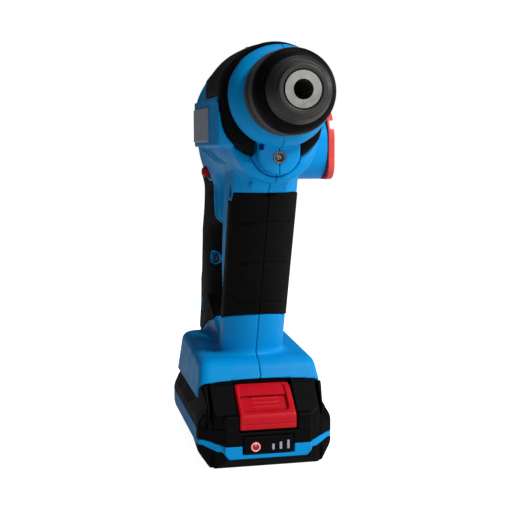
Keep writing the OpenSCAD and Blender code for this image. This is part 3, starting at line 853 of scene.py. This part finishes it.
def strut_marks(p):
    """Cross grooves and the middle seam of the strut's rubber."""
    x, _, z = p
    f = nowhere(x)
    for height in (143.5, 119, 94):
        f = np.minimum(f, np.abs(z - height) - 0.7)
    return np.maximum(f, np.abs(x) - 14)


def grip_mask(p):
    _, d, z = p
    front = ease(z, [(60, 172), (72, 168), (95, 160), (118, 150), (136, 140)])
    f = smax(front - d, 2.3 - box(p, *TRIGGER_ZONE, r=9), 2)
    f = smax(f, np.where(z > 137.5, 166.3 - d, -9), 3)
    f = smax(f, z - ease(d, [(163, 166), (177, 166.5), (185, 180), (215, 184)]), 2)
    lower_edge = ease(d, [(136, 80.8), (172, 73.2), (195, 66.4), (203, 61.5), (220, 59.5), (238, 59)])
    f = smax(f, lower_edge - z, 2)
    # A blue stripe stays open along the grip's back
    stripe = (np.hypot((z - 117) / 26, (d - 230) / 26) - 1) * 20
    f = smax(f, -stripe, 1)
    f = np.maximum(f, -box(p, (-60, 163, 165.5), (60, 177, 176.5), 3))
    for d0, z0 in SCREWS[:2]:
        f = np.maximum(f, -cylinder_x(p, 5.1, -60, -9, d0, z0))
    return f


def top_mask(p):
    x, d, z = p
    low = ease(d, [(62, 215), (104, 215), (110, 220.5), (120, 225), (150, 227), (170, 224), (190, 214)])
    f = smax(low - z, 62.5 - d, 2)
    f = smax(f, d - 196, 4)
    # Open across the barrel's front face, where the nose housing is let in
    return np.maximum(f, np.where(d < 67, 27 - np.hypot(x, z - BARREL_Z), -9))


def top_ribs(p):
    """Grooves between the ribs of the top rubber, running along the barrel's sides."""
    _, d, z = p
    f = nowhere(d)
    for i in range(9):
        rib = np.abs(d - (67 + 12 * i) + (z - 225) * 0.1) - 1.7
        f = np.minimum(f, smax(rib, 219.5 - 0.5 * i - z, 1))
    return smax(f, z - 237.5, 1)


def housing_skin(p):
    """The housing with seats cut for the rubber pads and the side label."""
    f = housing(p)
    seat = np.minimum(np.minimum(strut_mask(p), grip_mask(p)), top_mask(p)) - PAD_GAP
    outer = body_outer(p)
    f = cut(f, np.maximum(seat, -outer - PAD_IN - 0.1), 0.3)
    return cut(f, label_room(p), 0.2)


def label_room(p):
    low, high = LABEL
    return box(p, (-45, low[1] - 0.2, low[2] - 0.2), (high[0] + 1.2, high[1] + 0.2, high[2] + 0.2), 1)


def half_of(field, side, gap):
    return lambda p: np.maximum(field(p), gap - side * p[0])


def add_housing():
    for side, word in ((1, "right"), (-1, "left")):
        low = (-0.8, 54, 36.5) if side > 0 else (-42, 54, 36.5)
        high = (42, 238, 250) if side > 0 else (0.8, 238, 250)
        skin = half_of(housing_skin, side, 0.08)
        from_field(f"{word}_housing_skin", skin, low, high, COARSE, "housing",
                   [f"{word}_housing"], "blue_plastic")


def strut_pad(p):
    f = smax(pad_shell(p), strut_mask(p), 0.5)
    return cut(f, np.maximum(strut_marks(p), -body_outer(p) - 0.05), 0.6)


def grip_pad(p):
    f = smax(pad_shell(p), grip_mask(p), 0.6)
    f = np.maximum(f, -box(p, *TRIGGER_ZONE, r=9))
    return np.maximum(f, -box(p, *TRIGGER_SLOT, r=1.5))


def top_pad(p):
    f = smax(pad_shell(p), top_mask(p), 0.6)
    return cut(f, np.maximum(top_ribs(p), -body_outer(p) - 1.1), 0.5)


def add_pads():
    places = {
        "strut": (strut_pad, (-21, 76, 78), (21, 128, 163), "black_rubber"),
        "grip": (grip_pad, (-21, 130, 52), (21, 238, 170), "black_rubber"),
        "top": (top_pad, (-35, 60, 205), (35, 200, 248), RIBBED_RUBBER),
    }
    for part, (field, low, high, look) in places.items():
        for side, word in ((1, "right"), (-1, "left")):
            start = (-0.6, *low[1:]) if side > 0 else low
            end = high if side > 0 else (0.6, *high[1:])
            from_field(f"{word}_{part}_pad_skin", half_of(field, side, 0.07), start, end, PAD_STEP,
                       "housing", [f"{word}_{part}_pad"], look, slot="black_rubber")


# ---------- nose ----------


def bell(p):
    r = np.hypot(p[0], p[2] - AXIS_Z)
    outer = ease(p[1], [(37.8, 20.8), (38.4, 21.6), (40, 24.4), (42.5, 26.7), (45.5, 28.2), (50, BELL_R)])
    rear = np.where(p[1] > 50, COLLAR_R - 0.5, outer)
    top_trim = ease(p[2], [(222, 0), (241, 2.0)])
    f = smax(r - rear + top_trim, 37.9 - p[1], 0.8)
    f = np.maximum(f, p[1] - NOSE_BACK)
    # The top of the nose steps out where the bumper is thinner
    crest = smax(r - BELL_R + top_trim, np.abs(p[0]) - 21.2, 1)
    crest = smax(crest, np.maximum(p[1] - 57, 48 - p[1]), 0.8)
    f = smin(f, np.maximum(crest, BARREL_Z - p[2]), 0.8)
    floor = np.maximum(hull_of_circles(p[0], p[2], BOSS_Z + 0.6, 14.0, BOSS_Z + 9, 13.0), 57.8 - p[1])
    f = smin(f, np.maximum(floor, p[1] - NOSE_BACK), 3)
    boss = hull_of_circles(p[0], p[2], BOSS_Z - 0.6, 11.7, BOSS_Z + 8, 11.9)
    boss = smax(np.maximum(boss, p[1] - NOSE_BACK), 49.6 - p[1], 1.6)
    f = smin(f, boss, 1.2)
    f = cut(f, cylinder_d(p, 13.4, 37, 62))
    f = cut(f, cylinder_d(p, 18, 46, 62))
    f = cut(f, cylinder_d(p, 3.5, 40, 53.4, 0, LAMP_Z), 0.5)
    f = cut(f, cylinder_d(p, 7.5, 55, 63, 0, COUNTER_Z))
    recess = box(p, (-11.4, 45, 185.2), (-8.6, 56, 188.6), 0.8)
    f = cut(f, recess, 0.3)
    seam = np.maximum(np.abs(p[0]) - 0.22, -f - 0.8)
    return cut(f, seam)


def bumper(p):
    r = np.hypot(p[0], p[2] - AXIS_Z)
    reach = np.hypot(p[0], p[2] - BARREL_Z) - bumper_radius(p)
    reach = reach + ease(p[1], [(51.5, 3.0), (53, 1.4), (55.5, 0.3), (60, 0)])
    front = np.where((np.abs(p[0]) < 21.6) & (p[2] > BARREL_Z), 57.2, 51.8)
    f = smax(smax(reach, 27.2 - r, 0.4), front - p[1], 0.8)
    f = np.maximum(f, p[1] - 61.7)
    gap = box(p, (-13.3, 45, 160), (12.5, 70, 200), 1)
    return cut(f, gap, 0.5)


def add_nose():
    from_field("nose_housing_skin", bell, (-30, 36.5, 168), (30, 63, 244.5), FINE, "housing",
               ["nose_housing"], "blue_plastic")
    from_field("bumper_ring_skin", bumper, (-34, 50, 180), (34, 63, 248.5), FINE, "housing",
               ["bumper_ring"], "black_rubber")
    cone = [(3.3, 49.3), (3.4, 52.6), (0.4, 52.6), (0.4, 52.2), (1.5, 52.0), (2.8, 49.4)]
    lathe("lamp_reflector", cone, "housing", [], "steel", 64, 0.12, LAMP_Z)
    lathe("lamp_lens", [(0.02, 50.3), (0.8, 50.4), (1.4, 51.0), (1.5, 51.9), (0.02, 51.9)],
          "housing", ["led_lens"], "clear_lens", 48, 0.1, LAMP_Z)


# ---------- chuck ----------


def add_chuck():
    cap = [(9.75, 0.5), (10.3, 0.05), (12.2, 0.05), (12.8, 0.5), (13.1, 1.6), (14.5, 2.5), (15.5, 3.9),
           (15.9, 5.2), (16.7, 6.4), (17.0, 8.0), (17.0, 10.6), (9.3, 10.6), (9.3, 2.6), (9.75, 2.6)]
    lathe("dust_cap_skin", cap, "spindle", ["dust_cap"], CAP_RUBBER, 160, 0.5, slot="black_rubber")
    sleeve = [(9.45, 11.2), (17.5, 11.2), (18.3, 11.7), (19.6, 12.6), (20.9, 14.2), (21.6, 16.4), (21.8, 19),
              (21.8, 25.6), (21.4, 27), (20.7, 27), (20.7, 21.6), (14.2, 21.6), (14.2, 18.4),
              (12, 18.4), (12, 17), (9.45, 17)]
    lathe("locking_sleeve_skin", sleeve, "sleeve", ["locking_sleeve"], "black_plastic", 160, 0.6)
    # A thin band over the sleeve's rear, carrying the painted warm sheen brown
    sheen_band = [(21.6, 18.4), (22.1, 18.8), (22.25, 20), (22.25, 25.4), (22.1, 26.5), (21.6, 26.8),
            (20.9, 26.8), (20.9, 18.4)]
    lathe("sleeve_painted_sheen_band", sheen_band, "sleeve", [], WARM_SHEEN_BROWN, 160, 0.2, slot="dark_metal")
    # The base ring also takes the painted warm sheen brown
    ring = [(9.3, 30), (13.6, 30), (13.6, 28.2), (20.2, 28.2), (20.2, 32.6), (21.5, 32.6), (22.35, 33.5),
            (22.4, 35.2), (21.9, 37.5), (11, 37.5), (11, 32), (9.3, 32)]
    lathe("chuck_base_ring_skin", ring, "spindle", ["chuck_base_ring"], WARM_SHEEN_BROWN, 160, 0.3,
          slot="dark_metal")


# ---------- knob, trigger, direction button ----------


def knob(p):
    low, high = node_box("mode_knob")
    d, z = p[1] - KNOB[1], p[2] - KNOB[2]
    f = smax(knob_outline(d, z), low[0] + 0.15 - p[0], 0.5)
    f = smax(f, p[0] - high[0] + 0.05, 1.3)
    grip_bar = box(p, (low[0] + 1.5, KNOB[1] - 40, KNOB[2] + 8.5), (60, KNOB[1] + 40, KNOB[2] + 13.5), 0.6)
    f = cut(f, grip_bar, 0.5)
    pointer = box(p, (high[0] - 0.6, KNOB[1] - 1.1, KNOB[2] - 18), (60, KNOB[1] + 1.1, KNOB[2] - 6), 0.5)
    f = cut(f, pointer, 0.3)
    return cut(f, cylinder_x(p, 6, 0, low[0] + 0.4, KNOB[1], KNOB[2]))


def trigger(p):
    x, d, z = p
    front = 147.8 + 0.022 * (z - 148) ** 2
    f = smax(np.abs(x) - 7.7, front - d, 4)
    f = smax(smax(f, d - 165, 1), np.abs(z - 147.5) - 13.3, 2.5)
    f = smin(f, cylinder_d(p, 2.9, 160, 176, 0, 148), 0.8)
    for height in (140, 144, 148, 152, 156):
        f = cut(f, np.maximum(np.abs(z - height) - 0.35, front + 0.45 - d - 0.9), 0.2)
    return f


def direction(p):
    f = box(p, (-23, 165.2, 167.6), (23, 174.8, 174.4), 2.6)
    for side in (-1, 1):
        for depth in (168.2, 170, 171.8):
            groove = np.hypot(p[0] - side * 23.6, p[1] - depth) - 0.7
            f = cut(f, groove, 0.2)
    return f


def side_label(p):
    low, high = LABEL
    start = (low[0], low[1] + 0.2, low[2] + 0.2)
    end = (high[0] + 0.8, high[1] - 0.2, high[2] - 0.2)
    return box(p, start, end, 0.5)


def add_controls():
    from_field("mode_knob_skin", knob, (36.5, 82, 165), (42.5, 129, 212), FINE, "mode_selector",
               ["mode_knob"], KNOB_RED, "red_plastic")
    from_field("trigger_skin", trigger, (-9, 146, 132), (9, 177.5, 163), FINE, "trigger",
               ["trigger"], "red_plastic")
    from_field("direction_button_skin", direction, (-25.5, 164, 166), (25.5, 176, 176), FINE, "direction",
               ["direction_button"], "red_plastic")
    from_field("side_label_skin", side_label, LABEL[0] - 1.5, LABEL[1] + 2, FINE, "housing",
               ["side_label_plate"], "label_grey")


# ---------- battery ----------


def battery_shell(p):
    x, d, z = p
    ax = np.abs(x)
    bevel_top = ease(d, [(90, 9), (110, 12.5)])
    bevel_low = ((ax - 33.8) * bevel_top - z * 6.4) / np.hypot(bevel_top, 6.4)
    bevel_high = ((ax - CASE_HALF) * 10.5 + (z - 26) * 6.4) / 12.3
    lower = smax(smax(smax(ax - CASE_HALF, bevel_low, 1.5), bevel_high, 1.5), z - 36.5, 0.6)
    under_arch = z - arch_height(x) + 0.4
    side = ax - 35.6 - 0.28 * (d - 90) + 0.08 * (z - 40)
    bulkhead = smax(smax(smax(side, under_arch, 1.5), d - 98.2, 0.4), 20 - z, 0.5)
    neck = smax(smax(ax - 33.9, z - 46.4, 2), d - 111.5, 0.4)
    f = np.minimum(lower, np.minimum(bulkhead, np.maximum(neck, 20 - z)))
    chamfer = ((ax - 24.3) * 9 - (d - 77) * 15) / 17.5
    f = smax(f, chamfer, 1.2)
    f = smax(f, (ax + d - 231) / 1.414, 1)
    f = smax(f, ((z - 31.5) * 18.5 - (d - 80.2) * 18.5) / 26.2, 1.2)
    f = smax(f, 78.3 - d, 1.4)
    block = box(p, (-26.4, 77, 3), (26.4, 90, 31.6), 1.3)
    f = smin(f, block, 0.6)
    f = smax(f, ((77.2 - d) * 6.5 + (5.5 - z) * 5) / 8.2, 1)
    f = smax(f, d - CASE_BACK, 2)
    return smax(f, -z, 0.7)


def battery_details(p, f):
    """Corner grooves and the ridged finger recesses beside them."""
    x, d, z = p
    ax = np.abs(x)
    f = cut(f, corner_groove(p), 0.5)
    finger = box((ax, d, z), (34.6, 70, 24), (50, 86.4, 32.4), 1.6)
    shell = battery_shell(p)
    f = cut(f, finger, 0.8)
    for height in (25.6, 27.6, 29.6, 31.4):
        ridge = np.maximum(np.hypot(d - 86.6, z - height) - 0.6, np.abs(ax - 37.2) - 2)
        f = smin(f, np.maximum(ridge, shell + 0.6), 0.3)
    return f


def corner_groove(p):
    """The upright groove beside each front corner of the battery."""
    ax, d, z = np.abs(p[0]), p[1], p[2]
    return np.maximum(np.abs(ax - 32.9) - 1.0, d - ease(z, [(0, 84), (30, 85), (46, 98)]))


def band_zone(p, grow=0.0):
    """The band's outline on the case: low in front between the feet, a tall panel on each side."""
    x, d, z = p
    ax = np.abs(x)
    top = np.where(d > 92, ease(d, [(92, 21.6), (96, 22.8)]), 13.7 + np.clip((ax - 25) / 12, 0, 1) * 3.2)
    front_low = 5.8 + np.clip((ax - 23.4) / 3.8, 0, 1) * 4.4 + np.clip((ax - 30) / 8, 0, 1) * 3.4
    low = np.where(d > 92, 12.4, front_low)
    return smax(z - top - grow, low - grow - z, 0.4)


def battery_rooms(p, f):
    f = cut(f, cavity("battery_cells", p, 0.8))
    f = cut(f, cavity("battery_board", p, 0.8))
    well = np.maximum(np.abs(p[0]) - 17.9, (-(p[2] - 17.6) * 15.6 + (p[1] - 83.8) * 16) / 22.3)
    # A lip in front of the button's foot slopes the way the button is pressed
    lip = ((p[1] - 77) * 3.6 + (p[2] - 22.4) * 2.7) / 4.5
    f = cut(f, np.maximum(smax(well, 18.9 - p[2], 0.5), -lip), 0.2)
    f = cut(f, box(p, (-12.5, 98, 31.5), (12.5, 110, 60)))
    f = cut(f, box(p, PLATE[0] - 0.15, PLATE[1] + 0.15, 0.2))
    return cut(f, cylinder_d(p, 3.5, 60, 84, GAUGE_X, GAUGE_Z))


def cavity(node, p, grow):
    low, high = node_box(node)
    return box(p, low - grow, high + grow)


def tongue(p):
    f = smax(box(p, (-31, 99, 30), (31, 186, 60), 0.8), p[2] - arch_height(p[0]) + 0.4, 0.8)
    rail = box((np.abs(p[0]), p[1], p[2]), (28.3, 112, 40.3), (50, 200, 43.3), 0.1)
    f = cut(f, rail, 0.3)
    for x in (-18, -6, 6, 18):
        f = cut(f, box(p, (x - 1.3, 113, 40), (x + 1.3, 150, 60), 0.4), 0.3)
    return cut(f, box(p, (-26, 114, 30), (26, 150, 46)))


def battery_top(p):
    f = battery_details(p, battery_shell(p))
    f = np.minimum(f, tongue(p))
    f = battery_rooms(p, f)
    bridge = box(p, (-18.4, 100.4, 44.6), (18.4, 103.4, 60))
    f = np.minimum(f, np.maximum(bridge, p[2] - arch_height(p[0]) + 0.5))
    f = cut(f, band_zone(p, 0.15))
    return np.maximum(f, SPLIT_Z + 0.02 - p[2])


def battery_bottom(p):
    shell = battery_shell(p)
    f = battery_rooms(p, battery_details(p, shell))
    f = cut(f, np.maximum(band_zone(p, 0.15), -shell - 2.6), 0.2)
    feet = box((np.abs(p[0]), p[1], p[2]), (-1, 98, -5), (24, 176, 0.6), 0.4)
    f = cut(f, feet, 0.4)
    return np.maximum(f, p[2] - SPLIT_Z + 0.02)


def battery_band(p):
    shell = battery_shell(p)
    f = smax(np.maximum(shell + 0.1, -shell - 2.4), band_zone(p, -0.1), 0.4)
    return cut(f, box(p, PLATE[0] - 0.6, PLATE[1] + 0.6, 0.2))


def gauge_plate(p):
    low, high = PLATE
    f = box(p, (low[0] + 0.1, low[1] + 0.1, low[2] + 0.1), (high[0] - 0.1, high[1], high[2] - 0.1), 0.4)
    return cut(f, cylinder_d(p, 3.45, 60, 90, GAUGE_X, GAUGE_Z), 0.15)


def gauge_bars(p):
    """Three charge bars of rising height."""
    low, high = PLATE
    f = nowhere(p[0])
    for i in range(3):
        x = high[0] - 12.4 + 4.5 * i
        start = (x - 0.75, low[1] - 0.12, low[2] + 2)
        end = (x + 0.75, low[1] + 0.5, low[2] + 5.4 + 0.9 * i)
        f = np.minimum(f, box(p, start, end, 0.12))
    return f


def gauge_button(p):
    face, back = GAUGE[0][1], GAUGE[1][1]
    f = cylinder_d(p, 3.15, face + 0.15, back, GAUGE_X, GAUGE_Z, rim=0.5)
    return cut(f, np.hypot(ring_mark(p), p[1] - face - 0.1) - 0.4, 0.1)


def ring_mark(p):
    """Distance from the ring on the charge button's face."""
    return np.hypot(p[0] - GAUGE_X, p[2] - GAUGE_Z) - 2.35


def button_ring(p):
    """The white ring and short bar set into the charge button's face."""
    face = GAUGE[0][1]
    f = np.hypot(ring_mark(p), p[1] - face - 0.2) - 0.33
    bar = box(p, (GAUGE_X - 0.3, face, GAUGE_Z + 0.6), (GAUGE_X + 0.3, face + 0.5, GAUGE_Z + 2.3), 0.12)
    return np.minimum(f, bar)


def release(p):
    """The battery's release button: a sloped plate with raised rails, a dished face and a bottom lip."""
    x, d, z = p
    low, high = node_box("release_button")
    half = high[0] - 0.2
    slope = ((z - 31.5) * 19 - (d - 77.4) * 15.2) / 24.3
    f = smax(slope, np.abs(x) - half, 1.6)
    f = smax(f, low[1] + 0.1 - d, 1.2)
    f = smax(f, z - 45.8, 2.5)
    under = (-(z - low[2] - 0.3) * 14.5 + (d - 80.5) * 15.2) / 21
    f = smax(f, under, 0.8)
    f = smax(f, low[2] + 0.2 - z, 0.6)
    f = smax(f, d - 98.2, 0.4)
    # The dish is deeper below the ledge line
    along = z - 31.5
    dish = smax(np.abs(x + 0.8) - half + 3, smax(1.6 - along, along - 13.6, 1), 2.5)
    deep = np.where(along > 8.2, 1.0, 2.3)
    f = cut(f, np.maximum(dish, -slope - deep), 0.8)
    for i in range(3):
        rib = np.hypot(slope + 2.3, along - 3.6 - 1.9 * i) - 0.35
        f = smin(f, np.maximum(rib, np.abs(x) - 8), 0.2)
    f = cut(f, np.maximum(np.abs(z - low[2] - 3.4) - 0.22, d - low[1] - 0.55), 0.15)
    stem = box(p, (-12, 97, 38), (12, 106, 43.6), 0.6)
    hook = box(p, (-12, 104, 39), (12, 106.4, high[2]), 0.5)
    return np.minimum(f, np.minimum(stem, hook))


def add_battery():
    side = BATTERY_HALF + 1.5
    spots = {
        "battery_case_top": (battery_top, 22.5, 50.5, CASE_STEP, "black_plastic"),
        "battery_case_bottom": (battery_bottom, -1.5, 25.5, CASE_STEP, "black_plastic"),
        "battery_band": (battery_band, 3, 25, BAND_STEP, "blue_plastic"),
    }
    for node, (field, low_z, high_z, step, look) in spots.items():
        start, end = (-side, 75, low_z), (side, CASE_BACK + 2, high_z)
        from_field(f"{node}_skin", field, start, end, step, "battery", [node], look)
    low, high = PLATE[0] - 1, PLATE[1] + 1
    from_field("gauge_plate_skin", gauge_plate, low, high, FINE * 0.8, "battery",
               ["gauge_plate"], "black_plastic")
    from_field("gauge_bars", gauge_bars, low, high, SMALL, "battery", [], "label_grey")
    low, high = GAUGE[0] - 1, GAUGE[1] + 1
    from_field("gauge_button_skin", gauge_button, low, high, SMALL, "gauge",
               ["gauge_button"], "red_plastic")
    from_field("gauge_button_ring", button_ring, low, high, SMALL, "gauge", [], "white_plastic")
    low, high = node_box("release_button")
    from_field("release_button_skin", release, low - 1.5, high + 1.5, FINE, "release",
               ["release_button"], "red_plastic")


# ---------- CAD pieces that stay as they are ----------


def dress_cad():
    slots = {s["node"]: s["material_slot"] for s in frame["record"]["subparts"]}
    for name, obj in frame["nodes"].items():
        if obj.hide_render:
            continue
        for held in obj.material_slots:
            held.material = LOOKS[slots[name]]
        bevel = obj.modifiers.new("edge", "BEVEL")
        bevel.width = 0.00025
        bevel.segments = 2
        bevel.limit_method = "ANGLE"
        bevel.angle_limit = math.radians(35)
        bevel.use_clamp_overlap = True


add_camera()
add_stage()
add_lights()
add_housing()
add_pads()
add_nose()
add_chuck()
add_controls()
add_battery()
dress_cad()
